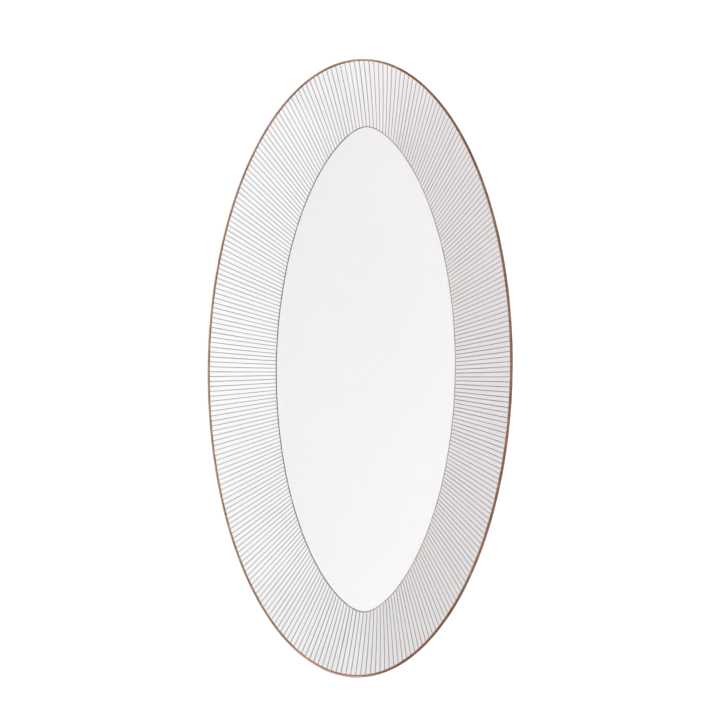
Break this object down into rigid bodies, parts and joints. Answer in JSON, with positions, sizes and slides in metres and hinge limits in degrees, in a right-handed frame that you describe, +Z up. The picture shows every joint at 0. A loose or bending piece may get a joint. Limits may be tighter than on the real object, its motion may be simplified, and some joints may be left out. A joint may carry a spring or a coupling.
{
  "type": "oval serving platter",
  "caption": "Long oval bone-china serving platter with a broad sloping rim, fine radiating metallic hairlines, a gold lip band and a gold line at the well.",
  "frame": {"origin": "under the centre of the platter, on the plane that the foot ring stands on", "axes": "+X along the long axis, +Y across the platter, +Z up"},
  "size_m": [0.39, 0.1978, 0.0273],
  "materials": {
    "bone_china": "matte",
    "glaze": "gloss",
    "gold": "polished",
    "platinum": "satin"
  },
  "bodies": {
    "root": {"china_body": "bone_china", "outer_glaze": "glaze", "base_glaze": "glaze", "lip_gold_band": "gold", "verge_gold_line": "gold", "rim_hairlines": "platinum"}
  },
  "joints": []
}
